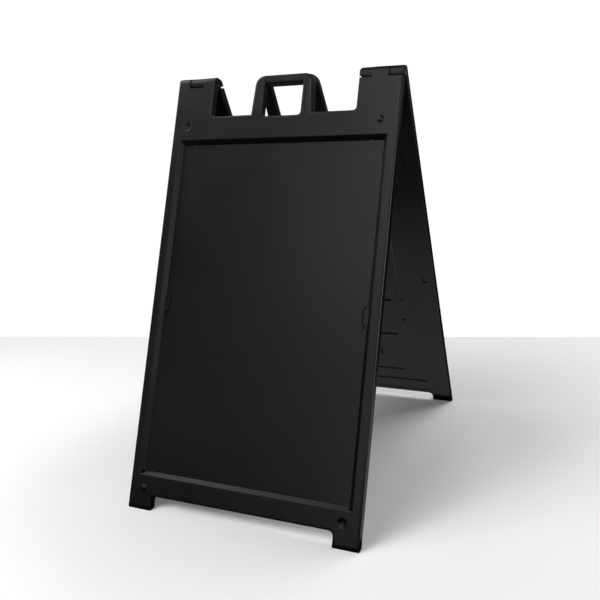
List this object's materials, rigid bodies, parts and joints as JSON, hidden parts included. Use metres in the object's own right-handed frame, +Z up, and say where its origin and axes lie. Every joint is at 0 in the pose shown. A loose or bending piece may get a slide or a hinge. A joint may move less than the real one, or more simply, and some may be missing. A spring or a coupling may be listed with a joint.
{
  "type": "sandwich board",
  "caption": "Folding A-frame pavement sign: two identical moulded plastic panels with carrying handles, hinged on pins at their top ears, each holding a flat sign sheet.",
  "frame": {"origin": "on the floor, midway between the two panels' feet and midway across the width, under the hinge line, with the board standing open", "axes": "+X along the hinge line, to the right of a person facing the front panel; +Y from the front panel towards the rear panel; +Z up"},
  "size_m": [0.682, 0.9102, 1.1275],
  "materials": {
    "moulding": "satin moulded polyethylene",
    "sheet": "smooth satin plastic sheet",
    "plug": "matt rubber",
    "pin": "drawn rod",
    "cap": "satin"
  },
  "bodies": {
    "front": {"front_panel": "moulding", "front_sign_sheet": "sheet", "front_filler_plug": "plug", "left_hinge_pin": "pin", "left_pin_cap": "cap"},
    "rear": {"rear_panel": "moulding", "rear_sign_sheet": "sheet", "rear_filler_plug": "plug", "right_hinge_pin": "pin", "right_pin_cap": "cap"}
  },
  "joints": [
    {"name": "fold_hinge", "type": "hinge", "parent": "front", "child": "rear", "pos_m": [0, 0, 1.1072], "axis": [-1, 0, 0], "range_deg": [0, 43]}
  ]
}
